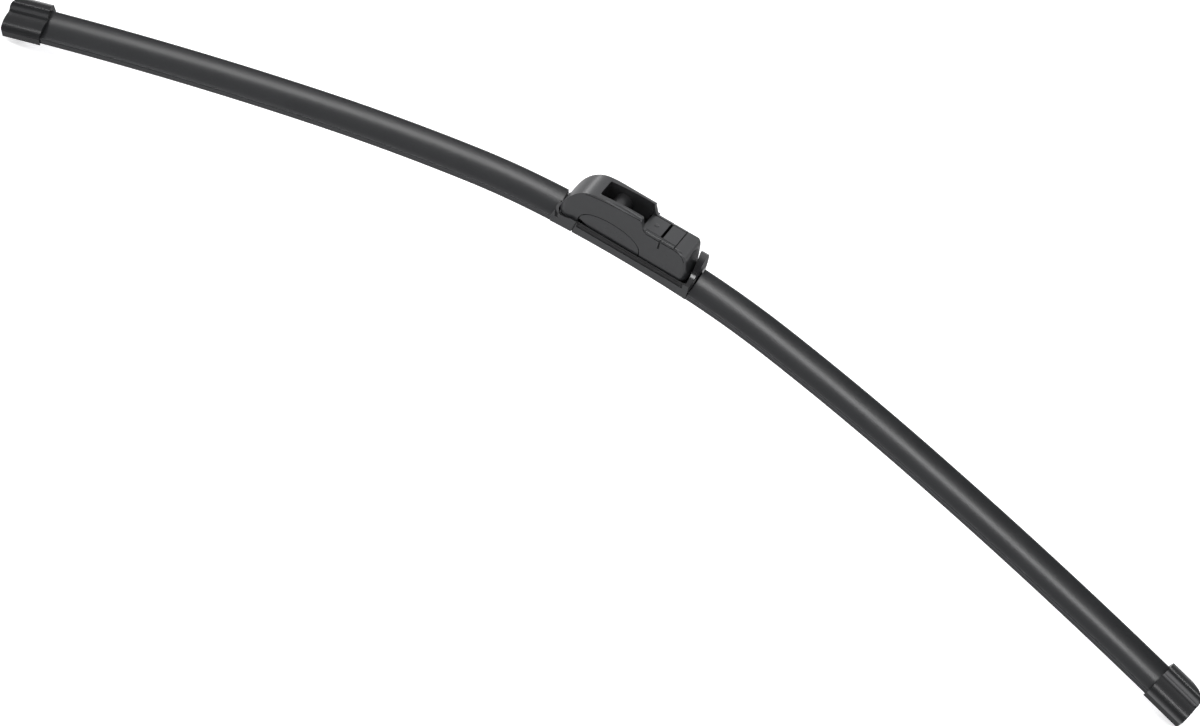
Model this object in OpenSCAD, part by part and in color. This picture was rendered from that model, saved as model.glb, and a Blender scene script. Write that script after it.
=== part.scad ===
// Beam wiper blade with a hook connector at its middle.
// The frame: +X runs along the blade, +Z is away from the glass and the spoiler's slope faces -Y.
// The origin is on the axis of the saddle, midway across it, where the arm's hook sits.
// The modules draw from the middle of the blade on the plane of its rails, and
// from_saddle() carries each piece over to the origin.

/* [Blade curve] */
// Length of the middle arc, from the centre to where the spoilers begin
bridge_len = 35; // [30:0.5:45]
// Length of the first arc beside the connector
near_len = 45; // [30:1:80]
// Length of the second arc
mid_len = 80; // [50:1:140]
// Length of the outer arc, to the tip of the blade
tip_len = 165; // [100:1:260]
// Radius of the middle arc, along the plane of the rails
bridge_r = 500; // [400:5:2000]
// Radius of the first arc
near_r = 315; // [250:5:1200]
// Radius of the second arc
mid_r = 955; // [500:5:2500]
// Radius of the outer arc
tip_r = 1820; // [900:10:4000]

/* [Rails and rubber] */
// Width of one spring rail
rail_w = 4.3; // [3:0.1:5]
// Thickness of a spring rail
rail_t = 0.9; // [0.6:0.05:1.1]
// Width of the rubber web between the rails
web_w = 1.6; // [1:0.1:2.4]
// Width of the rubber's head and shoulders
head_w = 5.4; // [4:0.1:6]
// Thickness of the rubber's head above the rails
head_t = 0.8; // [0.5:0.05:0.9]
// Thickness of the shoulders under the rails
shoulder_t = 1.3; // [0.8:0.1:1.8]
// Width of the thin neck on which the lip turns over
neck_w = 0.9; // [0.6:0.1:1.4]
// Height of the neck
neck_h = 0.8; // [0.4:0.1:1.2]
// Width of the wedge below the neck
wedge_w = 4.2; // [3:0.1:5]
// Height of the wedge and its lip
wedge_h = 4.5; // [3:0.1:6]
// Width of the wiping lip at its edge
lip_w = 0.7; // [0.4:0.05:1.2]
// Length by which the rubber stops short of the tip of the cap
rubber_back = 3; // [2.2:0.1:6]
// Length by which the rails stop short of the rubber
rail_back = 6; // [5.5:0.1:8]
// Running gap between the rubber, the rails and what holds them
slip = 0.15; // [0.08:0.01:0.2]

/* [Spoilers] */
// Half width of the spoiler's foot
foot_y = 7.9; // [7.2:0.1:8]
// Height of the upright edge of the foot above the rails' plane
foot_h = 1.0; // [0.9:0.1:1.4]
// Depth of the foot below the rails' plane
foot_d = 1.4; // [1.2:0.1:1.6]
// Place of the ridge behind the blade's middle plane
ridge_y = 5.0; // [3:0.1:6.5]
// Height of the ridge above the rails' plane
ridge_h = 7.9; // [6:0.1:9]
// Thickness of the rounded ridge
ridge_t = 1.0; // [0.6:0.1:1.6]
// How hollow the slope is, 1 being flat
slope_power = 1.65; // [1.1:0.05:2.2]

/* [End caps] */
// Length of an end cap along its foot
cap_len = 21; // [16:0.5:30]
// Wall of the cap beside the spoiler
cap_wall = 0.7; // [0.7:0.05:1.2]
// Rise of the cap's ridge above the spoiler's ridge
cap_rise = 2.4; // [1:0.1:4]
// How far behind the spoiler's ridge the cap's ridge lies
cap_lean = 1.2; // [0.8:0.1:1.6]
// Length over which the far corner of the cap's end is rounded away
cap_slant = 14; // [11:0.5:14.5]
// Rounding of the near corner of the cap's end
cap_round = 1.6; // [0.8:0.1:2.4]
// Length of the spoiler's end inside the cap
spoiler_in_cap = 5; // [3:0.1:7]
// Length of the crimped end clip
clip_len = 4; // [3:0.1:5]
// Sheet of the end clip
clip_t = 0.6; // [0.4:0.05:0.7]

/* [Connector base] */
// Half width of the base tray
tray_y = 8.1; // [8:0.1:8.8]
// Height of the tray's rim
rim_z = 5.6; // [5:0.1:6.2]
// Thickness of the tray's side walls
tray_wall = 0.8; // [0.6:0.05:0.85]
// Height of the tray's end wall behind the fixed end of the adapter
high_wall_z = 15.4; // [10:0.1:16]
// Height to which the tray's rim falls round the nose
nose_rim_z = 3.0; // [2.6:0.1:3.2]
// Height of the shelf outside the rounded corners at the nose
shelf_z = 1.9; // [1.8:0.1:2.2]
// Thickness of the high end wall
high_wall_t = 1.8; // [1:0.1:2.2]
// Thickness of the high end wall at its top, where it leans over the adapter's end
high_wall_top = 3.6; // [2.6:0.1:3.8]
// Thickness of the low end wall
low_wall_t = 1.2; // [0.8:0.1:1.3]
// Sheet of the steel bridge
steel_t = 1.2; // [0.9:0.1:1.4]
// Half length of the bridge's plate
bridge_x = 22; // [20:0.5:24]
// Distance of each pair of claws from the middle
claw_x = 16; // [13:0.5:17]
// Length of a claw
claw_len = 6; // [4:0.5:7]

/* [Pivot] */
// Height of the pivot above the rails' plane
pivot_z = 11; // [10.5:0.1:11.5]
// Diameter of the rivet's shank
rivet_d = 5; // [4:0.1:5.2]
// Diameter of the rivet's heads
rivet_head_d = 7.2; // [6.4:0.1:8]
// Outer diameter of the sleeve on the rivet
sleeve_d = 7; // [6.4:0.1:7.4]
// Running gap at the pivot
pivot_gap = 0.1; // [0.05:0.01:0.15]
// Inner distance between the bridge's two ears
ear_gap = 6.9; // [6.5:0.1:7]

/* [Adapter] */
// Half width of the adapter
body_y = 7.0; // [6.9:0.05:7.1]
// Wall of the adapter's skirt
skirt_t = 1.3; // [1:0.05:1.35]
// Height of the skirt's lower edge
skirt_z = 6.0; // [5.6:0.05:6.2]
// Height of the nose's lower edge, inside the rim
nose_skirt_z = 4.6; // [4.5:0.1:5]
// Place of the nose's tip
nose_x = 33.9; // [33.4:0.1:34]
// Place of the foot of the blunt end's face
tail_x = 32; // [31.4:0.1:32.2]
// Lean of the blunt end's face between its foot and the deck
tail_lean = 2.2; // [1.4:0.1:2.6]
// Height of the flat deck
deck_z = 22; // [21.4:0.1:22.2]
// Height of the walls beside the window
crown_z = 28.2; // [27.4:0.1:28.6]
// Fall of those walls towards the nose
crown_fall = 1.7; // [1:0.1:2.2]
// Width of the window that takes the arm's hook
window_w = 9.6; // [9.2:0.1:9.8]
// Nose end of the window
window_x0 = -17.2; // [-17.6:0.1:-17]
// Deck end of the window
window_x1 = 5.6; // [5:0.1:5.8]
// Thickness of the deck
deck_t = 1.6; // [1.4:0.05:1.8]
// Height of the window's floor above the rails' plane
window_floor = 16.5; // [16.3:0.1:17]
// Half width of the flat tops between the round shoulders
shoulder_y = 5.7; // [5.2:0.1:6]
// Height of the round shoulders
shoulder_drop = 2.4; // [1.6:0.1:3]
// Depth of the panel under the arched seam on each side
panel_d = 0.3; // [0.15:0.05:0.4]
// Half width of the arched panel
panel_x = 16; // [13:0.5:17]
// Middle of the arched panel, towards the nose
panel_mid = 7.5; // [6:0.5:9]
// Height of the arched panel's top
panel_z = 15.4; // [14:0.1:16]
// Place of the shallow groove across the deck
groove_x = 23; // [21:0.1:24]
// Width of that groove
groove_w = 0.5; // [0.4:0.05:0.8]
// Height at which the slit across both sides ends
slit_z = 16.4; // [15:0.1:18]
// Width of that slit
slit_w = 0.6; // [0.5:0.05:0.8]
// Length of the notch in the lower edge behind the nose
notch_len = 6.5; // [5:0.1:8]
// Radius of the saddle that the hook wraps round
saddle_r = 4.2; // [4:0.1:4.3]
// Distance of the saddle from the pivot, towards the nose
saddle_x = 8.6; // [8:0.1:8.8]
// Height of the saddle's centre
saddle_z = 19.7; // [19.5:0.1:20]

/* [Release button] */
// Length of the button's plate
button_len = 9.2; // [8:0.1:9.4]
// Width of the button's plate
button_w = 9.4; // [8.8:0.1:9.6]
// Thickness of the plate
button_t = 1.3; // [1.1:0.05:1.4]
// Width of the open slot at the free end of the button
slot_w = 1.3; // [1.2:0.05:1.6]
// Gap round the button
button_gap = 0.25; // [0.2:0.01:0.3]
// Thickness of the tongue that locks behind the hook
tongue_t = 1.4; // [1:0.1:2]
// Reach of the tongue below the deck's top
tongue_len = 4; // [3:0.1:4.6]
// Diameter of the finger mark on the plate
mark_d = 2; // [1.4:0.1:3]

/* [Hidden] */

$fn = 64;
arc_fn = 720;
lap = 0.5;
tuck_step = 0.01;
$tuck = 0;
far = 100;
past = 1;

// Chain of tangent arcs of one half of the blade
seg_len = [bridge_len, near_len, mid_len, tip_len];
seg_r = [bridge_r, near_r, mid_r, tip_r];
seg_turn = [for (i = [0:3]) seg_len[i] / seg_r[i] * 180 / PI];
function total(list, n) = n <= 0 ? 0 : list[n - 1] + total(list, n - 1);
function centre(i) = i == 0 ? [0, -seg_r[0]]
    : centre(i - 1) + (seg_r[i - 1] - seg_r[i]) * [sin(total(seg_turn, i)), cos(total(seg_turn, i))];
function seg_of(s) = s < total(seg_len, 1) ? 0 : s < total(seg_len, 2) ? 1 : s < total(seg_len, 3) ? 2 : 3;
function lean(s) = total(seg_turn, seg_of(s))
    + (s - total(seg_len, seg_of(s))) / seg_len[seg_of(s)] * seg_turn[seg_of(s)];
function spot(s) = centre(seg_of(s)) + seg_r[seg_of(s)] * [sin(lean(s)), cos(lean(s))];

half_len = total(seg_len, 4);
rail_in = web_w / 2 + slip;
rail_out = rail_in + rail_w;
rail_top = rail_t / 2;
head_base = rail_top + slip;
head_top = head_base + head_t;
grip_y = rail_out + slip;
grip_h = rail_top + slip;
rubber_end = half_len - rubber_back;
rail_end = rubber_end - rail_back;
cap_s = half_len - cap_len;
spoiler_end = cap_s + spoiler_in_cap;
clip_s = spoiler_end + 1.5;
end_room = 0.4;
cap_ridge_h = ridge_h + cap_rise;
cap_ridge_y = ridge_y + cap_lean;
cap_foot_y = foot_y + cap_wall;
lip_tip = -(rail_top + slip + shoulder_t + neck_h + wedge_h);

plate_z = head_top + slip;
plate_top = plate_z + steel_t;
ear_y = ear_gap / 2;
ear_r = pivot_z / 2 - 1;
claw_in = 3.7;
floor_z = 0.95;
floor_top = 1.5;
tray_in = tray_y - tray_wall;
tray_x = bridge_len + 0.4;
seam_x = bridge_len + 0.6;

skirt_in = body_y - skirt_t;
window_y = window_w / 2;
button_x0 = window_x1 + button_gap;
button_x1 = button_x0 + button_len;
slot_x1 = button_x1 + slot_w;
notch_x = -23.3;
nose_top = crown_z - crown_fall;
clip_y = window_y - pivot_gap;
eye_r = 5.2;
mark_h = 0.35;

shell_grey = [0.17, 0.175, 0.18];
rubber_black = [0.10, 0.10, 0.105];
gloss_black = [0.07, 0.07, 0.075];
steel_grey = [0.55, 0.56, 0.58];

// Carries a piece from the middle of the blade to the frame's origin
module from_saddle() {
    translate([saddle_x, 0, -saddle_z]) children();
}

// A quadratic curve from a to c that leaves and arrives along the lines to b
function curve(a, b, c, n) =
    [for (i = [0:n]) let (t = i / n) (1 - t) * (1 - t) * a + 2 * t * (1 - t) * b + t * t * c];

// A cross section is drawn as [y, height] and turned for the sweep along the arcs
module section(points) {
    polygon([for (p = points) [p[1], -p[0]]]);
}

// One arc of the sweep: its child is a section, turned by the given angle from a standing start
module arc(r, angle) {
    translate([0, 0, -r])
        rotate([90, 0, 0])
            rotate([0, 0, 90 - angle])
                rotate_extrude(angle = angle, $fn = arc_fn)
                    translate([r, 0])
                        children();
}

// Puts its child at distance s along the right half, turned with the blade
module at(s) {
    translate([spot(s)[0], 0, spot(s)[1]])
        rotate([0, lean(s), 0])
            children();
}

// Sweeps its child, a section, along the right half of the blade from s0 to s1.
// Each arc runs on a little past its end, and the next one, whose section is smaller by
// $tuck on every side, starts inside it, so that the arcs make one solid.
module along(s0, s1) {
    for (i = [0:3]) {
        a = max(s0, total(seg_len, i));
        b = min(s1, total(seg_len, i + 1));
        run_on = b < s1 ? lap : 0;
        if (b > a) {
            $tuck = i * tuck_step;
            at(a) arc(seg_r[i], (b + run_on - a) / seg_r[i] * 180 / PI) children();
        }
    }
}

// Both halves of what runs through the middle
module both_ways(s1) {
    $tuck = 0;
    middle = bridge_len + lap;
    translate([0, 0, -bridge_r])
        rotate([0, -middle / bridge_r * 180 / PI, 0])
            translate([0, 0, bridge_r])
                arc(bridge_r, 2 * middle / bridge_r * 180 / PI) children();
    along(bridge_len, s1) children();
    mirror([1, 0, 0]) along(bridge_len, s1) children();
}

module box_section(y0, y1, h0, h1) {
    section([[y0 + $tuck, h0 + $tuck], [y1 - $tuck, h0 + $tuck],
        [y1 - $tuck, h1 - $tuck], [y0 + $tuck, h1 - $tuck]]);
}

// Outline of the spoiler, grown by m on every side
function slope(m, n) = [
    for (i = [0:n]) let (t = i / n)
        [-foot_y - m + 0.6 + t * (ridge_y - ridge_t / 2 + foot_y - 0.6),
         foot_h + 0.5 + m + pow(t, slope_power) * (ridge_h - foot_h - 0.5 - ridge_t / 3)]
];
function spoiler_outline(m) = concat(
    [[-foot_y - m, -foot_d - m], [-foot_y - m, foot_h + m]],
    slope(m, 10),
    [[ridge_y - ridge_t / 5, ridge_h + m], [ridge_y + ridge_t / 3, ridge_h + m]],
    curve([ridge_y + ridge_t / 2 + m, ridge_h - 0.5], [ridge_y + 1.3 + m, foot_h + 1.5],
        [foot_y + m, foot_h + m], 5),
    [[foot_y + m, -foot_d - m]]
);

// Room for the rails, the rubber's head and shoulders inside a foot
module rail_channel() {
    room = 2 * $tuck;
    box_section(-grip_y - room, grip_y + room, -grip_h - room, grip_h + room);
    box_section(-head_w / 2 - slip - room, head_w / 2 + slip + room, 0, head_top + slip + room);
    box_section(-claw_in - room, claw_in + room, -foot_d - past, 0);
}

// Half of the rubber's section, from the head down to the lip, drawn in by m
function rubber_half(m) = let (under = -rail_top - slip, wedge_top = under - shoulder_t - neck_h) [
    [head_w / 2 - m, head_top - m], [head_w / 2 - m, head_base + m],
    [web_w / 2 - m, head_base + m], [web_w / 2 - m, under - m],
    [head_w / 2 - m, under - m], [head_w / 2 - m, under - shoulder_t + m],
    [neck_w / 2 - m, under - shoulder_t + m], [neck_w / 2 - m, wedge_top - m],
    [wedge_w / 2 - m, wedge_top - m], [wedge_w / 2 - 0.2 - m, wedge_top - 0.7],
    [lip_w / 2 - m, lip_tip + 1.2], [lip_w / 2 - m, lip_tip + m]
];

module rubber_section() {
    right = rubber_half($tuck);
    left = [for (i = [len(right) - 1:-1:0]) [-right[i][0], right[i][1]]];
    section(concat(right, left));
}

module wiping_rubber() {
    color(rubber_black) from_saddle()
        both_ways(rubber_end)
            rubber_section();
}

module rail(side) {
    y0 = side > 0 ? rail_in : -rail_out;
    color(steel_grey) from_saddle()
        both_ways(rail_end)
            box_section(y0, y0 + rail_w, -rail_top, rail_top);
}

module front_rail() {
    rail(-1);
}

module rear_rail() {
    rail(1);
}

module spoiler() {
    along(seam_x, spoiler_end)
        difference() {
            section(spoiler_outline(-$tuck));
            rail_channel();
        }
}

module left_spoiler() {
    color(shell_grey) from_saddle() mirror([1, 0, 0]) spoiler();
}

module right_spoiler() {
    color(shell_grey) from_saddle() spoiler();
}

// The cap has a bulging flank, a crease and a raised round ridge
function cap_outline() = concat(
    [[-cap_foot_y, -foot_d - 0.6], [-cap_foot_y, foot_h]],
    curve([-cap_foot_y, foot_h], [-foot_y + 2, foot_h + 4.2], [0.2, 5.6], 8),
    curve([1.0, 6.4], [2.2, cap_ridge_h - 0.6], [cap_ridge_y - 1.2, cap_ridge_h], 5),
    [[cap_ridge_y + 0.2, cap_ridge_h]],
    curve([cap_ridge_y + 1.0, cap_ridge_h - 1], [cap_ridge_y + 1.8, foot_h + 3],
        [cap_foot_y, foot_h + 0.6], 5),
    [[cap_foot_y, -foot_d - 0.6]]
);

// What is cut away round the two corners of the cap's end, drawn from above.
// It starts a brink outside the cap's faces and crosses them at a slant.
module cap_end_cut() {
    brink = 0.1;
    near_y = -cap_foot_y - brink;
    corner = curve([-cap_round, near_y], [brink, near_y], [brink, near_y + cap_round], 5);
    bend = curve([brink, 0.5], [-0.6, cap_ridge_y], [-cap_slant, cap_ridge_y + 1.2], 14);
    linear_extrude(height = far, center = true)
        polygon(concat([[past * 12, near_y - past], [-cap_round, near_y - past]], corner,
            [[past, near_y + cap_round], [past, 0.5]], bend,
            [[-cap_slant - 2 * past, cap_foot_y + past], [past * 12, cap_foot_y + past]]));
}

module end_cap() {
    difference() {
        along(cap_s, half_len) section(cap_outline());
        along(cap_s - past, spoiler_end + 0.3) {
            section(spoiler_outline(slip));
            box_section(-claw_in, claw_in, -foot_d - 2 * past, 0);
        }
        along(spoiler_end, clip_s + clip_len + end_room)
            box_section(-grip_y - clip_t - slip, grip_y + clip_t + slip,
                -foot_d - past, head_top + clip_t + 2 * slip);
        along(clip_s, rail_end + end_room)
            box_section(-grip_y, grip_y, -foot_d - 1.2 * past, grip_h);
        along(clip_s + 1, rubber_end + end_room)
            box_section(-head_w / 2 - slip, head_w / 2 + slip, -foot_d - 1.4 * past, head_top + slip);
        at(half_len) cap_end_cut();
    }
}

module left_end_cap() {
    color(shell_grey) from_saddle() mirror([1, 0, 0]) end_cap();
}

module right_end_cap() {
    color(shell_grey) from_saddle() end_cap();
}

// A sheet clip crimped round both rails, which stops the rubber
module end_clip() {
    along(clip_s, clip_s + clip_len)
        difference() {
            box_section(-grip_y - clip_t, grip_y + clip_t, -grip_h - clip_t, head_top + slip + clip_t);
            box_section(-grip_y, grip_y, -grip_h, grip_h);
            box_section(-head_w / 2 - slip, head_w / 2 + slip, 0, head_top + slip);
            box_section(-claw_in, claw_in, -grip_h - clip_t - past, 0);
        }
}

module left_end_clip() {
    color(steel_grey) from_saddle() mirror([1, 0, 0]) end_clip();
}

module right_end_clip() {
    color(steel_grey) from_saddle() end_clip();
}

// One upright ear of the bridge with its rivet hole
module ear() {
    rotate([90, 0, 0])
        linear_extrude(height = steel_t)
            difference() {
                union() {
                    translate([0, pivot_z]) circle(r = ear_r);
                    translate([-ear_r, plate_z]) square([2 * ear_r, pivot_z - plate_z]);
                }
                translate([0, pivot_z]) circle(d = rivet_d + pivot_gap);
            }
}

// A pair of claws that reach down beside the rails and under them
module claw_pair() {
    difference() {
        at(claw_x - claw_len / 2)
            translate([0, -grip_y - steel_t, -grip_h - foot_d / 2])
                cube([claw_len, 2 * (grip_y + steel_t), plate_top + grip_h + foot_d / 2 - 0.1]);
        along(claw_x - claw_len, claw_x + claw_len) {
            box_section(-grip_y, grip_y, -grip_h, plate_z);
            box_section(-claw_in, claw_in, -foot_d - 2 * past, 0);
        }
    }
}

module bridge_bracket() {
    color(gloss_black) from_saddle() {
        translate([-bridge_x, -grip_y - steel_t, plate_z])
            cube([2 * bridge_x, 2 * (grip_y + steel_t), steel_t]);
        translate([0, ear_y + steel_t, 0]) ear();
        translate([0, -ear_y, 0]) ear();
        claw_pair();
        mirror([1, 0, 0]) claw_pair();
    }
}

// Outline of an end wall that follows the spoiler's slope up to the given height
module end_wall(x0, t, top) {
    rise = [for (i = [0:10]) let (u = i / 10)
        [-tray_y + u * (ridge_y + tray_y), rim_z + pow(u, slope_power) * (top - rim_z)]];
    translate([x0, 0, 0])
        rotate([90, 0, 90])
            linear_extrude(height = t)
                polygon(concat([[-tray_y, 0]], rise,
                    curve([ridge_y + 0.6, top], [tray_y, top], [tray_y, rim_z], 5), [[tray_y, 0]]));
}

// Height of the rim round the nose, drawn as [x, z] from where it falls to the end
function rim_fall() = concat(
    curve([-26, rim_z + lap], [-29, nose_rim_z], [-31.5, nose_rim_z], 6),
    [[-tray_x - past, nose_rim_z], [-tray_x - past, rim_z + past]]
);

// One rounded corner in plan at the nose, from the side wall to the end wall
function nose_corner(x, y) = curve([-30, -y], [x, -y], [x, -3.3], 8);

// Room inside the rim, seen from above, with rounded corners at the nose
function tray_room(x0, x1) = let (corner = nose_corner(x0, tray_in)) concat(
    corner, [for (i = [len(corner) - 1:-1:0]) [corner[i][0], -corner[i][1]]],
    [[x1, tray_in], [x1, -tray_in]]
);

// What is cut away outside the rounded corners at the nose
module corner_cut() {
    brink = 0.1;
    linear_extrude(height = far)
        polygon(concat([[-tray_x - past, -tray_y - past], [-30, -tray_y - past]],
            nose_corner(-tray_x - brink, tray_y + brink), [[-tray_x - past, -3.3]]));
}

module base_tray() {
    room_x0 = -tray_x + low_wall_t;
    room_x1 = tray_x - high_wall_t;
    well_x = bridge_x + 0.3;
    color(gloss_black) from_saddle() {
        // the high wall thickens upwards, where the adapter's end leans away from it
        intersection() {
            end_wall(tray_x - high_wall_top, high_wall_top, high_wall_z);
            from_side([[tray_x, rim_z - past], [tray_x - high_wall_t, rim_z - past],
                [tray_x - high_wall_top, high_wall_z], [tray_x, high_wall_z]]);
        }
        difference() {
            union() {
                translate([-tray_x, -tray_y, -5])
                    cube([2 * tray_x, 2 * tray_y, 5 + rim_z]);
                end_wall(tray_x - high_wall_t, high_wall_t, high_wall_z);
            }
            translate([0, 0, -seg_r[0]])
                rotate([90, 0, 0])
                    cylinder(r = seg_r[0] - foot_d, h = far, center = true, $fn = arc_fn);
            translate([0, 0, floor_top])
                from_above(tray_room(room_x0, room_x1));
            from_side(rim_fall());
            for (side = [0, 1])
                mirror([0, side, 0])
                    translate([0, 0, shelf_z])
                        corner_cut();
            translate([-well_x, -grip_y - steel_t - 0.3, -far / 2])
                cube([2 * well_x, 2 * (grip_y + steel_t + 0.3), far]);
            both_ways(tray_x + past) rail_channel();
        }
    }
}

module pivot_rivet() {
    shank = ear_gap + 2 * steel_t + 0.1;
    color(steel_grey) from_saddle()
        translate([0, 0, pivot_z])
            rotate([90, 0, 0]) {
                cylinder(d = rivet_d, h = shank, center = true);
                for (side = [-1, 1])
                    translate([0, 0, side * (shank / 2 + 0.35)])
                        cylinder(d = rivet_head_d, h = 0.7, center = true);
            }
}

module pivot_sleeve() {
    color(steel_grey) from_saddle()
        translate([0, 0, pivot_z])
            rotate([90, 0, 0])
                difference() {
                    cylinder(d = sleeve_d, h = ear_gap - 2 * pivot_gap, center = true);
                    cylinder(d = rivet_d + pivot_gap, h = far, center = true);
                }
}

// Side outline of the tall part of the adapter, drawn as [x, z]
function tall_side() = concat(
    [[window_x1 + 3, skirt_z], [notch_x + 0.3, skirt_z],
        [notch_x - 0.3, nose_skirt_z], [-nose_x, nose_skirt_z]],
    curve([-nose_x, nose_skirt_z + 1], [-nose_x + 4.6, nose_top - 1.2], [window_x0, nose_top + 0.1], 12),
    curve([window_x0 + 4, nose_top + 0.6], [-4, crown_z + 0.1], [window_x1 - 1.4, crown_z], 6),
    curve([window_x1 - 0.3, crown_z - 0.4], [window_x1 + 0.6, deck_z + 0.6], [window_x1 + 2.6, deck_z], 6)
);

// Side outline of the low part with the deck and the blunt end
function low_side() = concat(
    [[-nose_x / 2, skirt_z], [-nose_x / 2, deck_z], [groove_x + 1, deck_z]],
    curve([groove_x + 1, deck_z], [tail_x - tail_lean + 0.3, deck_z],
        [tail_x - tail_lean + 0.6, deck_z - 5], 8),
    [[tail_x, skirt_z]]
);

// Outline from above, grown inwards by m
function plan(m) = concat(
    curve([-29, body_y - m], [-nose_x + m, body_y - m], [-nose_x + m, 2.5], 10),
    curve([-nose_x + m, -2.5], [-nose_x + m, -body_y + m], [-29, -body_y + m], 10),
    curve([tail_x - 4, -body_y + m], [tail_x - m, -body_y + m], [tail_x - m, -body_y + 4], 6),
    curve([tail_x - m, body_y - 4], [tail_x - m, body_y - m], [tail_x - 4, body_y - m], 6)
);

// Outline from the end, with round shoulders under the given top
function shoulders(top) = concat(
    [[-body_y, 0], [-body_y, top - shoulder_drop]],
    curve([-body_y, top - shoulder_drop], [-body_y + 0.1, top - 0.1], [-shoulder_y, top + 0.2], 5),
    curve([shoulder_y, top + 0.2], [body_y - 0.1, top - 0.1], [body_y, top - shoulder_drop], 5),
    [[body_y, 0]]
);

// The arched panel, drawn as [x, z]; its lower corners lie below the nose's edge
function panel_outline() = concat(
    [[panel_x - panel_mid, nose_skirt_z - past]],
    [for (i = [0:16]) let (a = i / 16 * 180)
        [panel_x * cos(a) - panel_mid, skirt_z + (panel_z - skirt_z) * pow(sin(a), 0.8)]],
    [[-panel_x - panel_mid, nose_skirt_z - past]]
);

module from_side(points) {
    rotate([90, 0, 0])
        linear_extrude(height = 4 * body_y, center = true)
            polygon(points);
}

module from_above(points) {
    linear_extrude(height = far)
        polygon(points);
}

module from_end(points) {
    translate([-far / 2, 0, 0])
        rotate([90, 0, 90])
            linear_extrude(height = far)
                polygon(points);
}

module adapter_body() {
    wall = skirt_t;
    color(shell_grey) from_saddle()
        difference() {
            union() {
                intersection() {
                    from_side(tall_side());
                    from_above(plan(0));
                    from_end(shoulders(crown_z));
                }
                intersection() {
                    from_side(low_side());
                    from_above(plan(0));
                    from_end(shoulders(deck_z));
                }
            }
            // hollow under the nose and the window
            intersection() {
                from_side([[window_x1, 0], [-nose_x + wall, 0], [-nose_x + wall, nose_skirt_z + 1],
                    [-nose_x + 4.3, window_floor - 3], [-nose_x + 8, window_floor + 2.8],
                    [window_x0 - wall, window_floor + 5.8],
                    [window_x0 - wall, window_floor], [window_x1, window_floor]]);
                from_above(plan(wall));
            }
            // hollow under the deck
            intersection() {
                translate([window_x1 - past, -skirt_in, 0])
                    cube([tail_x - wall - window_x1 + past, 2 * skirt_in, deck_z - deck_t]);
                from_above(plan(wall));
                from_side([[0, 0], [tail_x - wall - 0.3, 0], [tail_x - wall - tail_lean + 0.3, deck_z - 6],
                    [groove_x + 1.5, deck_z - deck_t], [0, deck_z - deck_t]]);
            }
            // the window
            translate([window_x0, -window_y, window_floor - past])
                cube([window_x1 - window_x0, window_w, far]);
            // the place of the button and the slot at its free end
            translate([window_x1 - past, -button_w / 2 - button_gap, deck_z - deck_t - past])
                cube([slot_x1 - window_x1 + past, button_w + 2 * button_gap, far]);
            // the slit that runs on across both sides
            translate([slot_x1 - slit_w, -far / 2, slit_z])
                cube([slit_w, far, far]);
            // the shallow groove across the deck
            translate([groove_x, -far / 2, deck_z - groove_w])
                cube([groove_w, far, far]);
            // the notch in the lower edge behind the nose
            translate([notch_x, -far / 2, skirt_z - past])
                cube([notch_len, far, past + 0.9]);
            // the panel under the arched seam on each side
            for (side = [0, 1])
                mirror([0, side, 0])
                    translate([0, far / 2 + body_y - panel_d, 0])
                        rotate([90, 0, 0])
                            linear_extrude(height = far / 2)
                                polygon(panel_outline());
        }
}

// The inner clip: an eye on the sleeve and the saddle for the hook, which passes over it,
// round its nose side and back underneath
module hook_clip() {
    web_x0 = -saddle_x + 2;
    web_x1 = -saddle_x + saddle_r;
    color(gloss_black) from_saddle()
        difference() {
            union() {
                translate([-saddle_x, 0, saddle_z])
                    rotate([90, 0, 0])
                        cylinder(r = saddle_r, h = 2 * clip_y, center = true);
                translate([web_x0, -clip_y, window_floor - 0.8])
                    cube([web_x1 - web_x0, 2 * clip_y, saddle_z - window_floor + 0.8]);
                rotate([90, 0, 0])
                    linear_extrude(height = ear_gap - 2 * pivot_gap, center = true) {
                        translate([0, pivot_z]) circle(r = eye_r);
                        polygon([[web_x0, window_floor], [web_x0, pivot_z + 1], [0, pivot_z - 1],
                            [eye_r - 1, pivot_z + 1], [eye_r - 1.4, window_floor - 0.4],
                            [web_x1, window_floor]]);
                    }
            }
            translate([0, 0, pivot_z])
                rotate([90, 0, 0])
                    cylinder(d = sleeve_d + 2 * pivot_gap, h = far, center = true);
            // the mouth through which the eye snaps on to the sleeve
            translate([-sleeve_d / 2 + 0.4, -far / 2, 0])
                cube([sleeve_d - 0.8, far, pivot_z]);
        }
}

module release_button() {
    color(shell_grey) from_saddle() {
        translate([button_x0, -button_w / 2, deck_z - button_t - 0.1])
            cube([button_len, button_w, button_t]);
        // the finger mark on the plate
        translate([button_x0 + button_len / 2, 0, deck_z - 0.1 - mark_h / 3])
            cylinder(d = mark_d, h = mark_h);
        // the tongue that locks behind the hook
        translate([button_x0, -window_y + 1, deck_z - tongue_len])
            cube([tongue_t, window_w - 2, tongue_len - 1]);
    }
}

wiping_rubber();
front_rail();
rear_rail();
left_spoiler();
right_spoiler();
left_end_cap();
right_end_cap();
left_end_clip();
right_end_clip();
bridge_bracket();
base_tray();
pivot_rivet();
pivot_sleeve();
adapter_body();
hook_clip();
release_button();
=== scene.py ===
"""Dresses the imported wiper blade: finishes, detailed pieces, light and camera."""

import logging
import math
from dataclasses import dataclass
from enum import Enum
from typing import Callable, Iterable, Sequence

import bpy
from mathutils import Matrix, Vector


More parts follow.
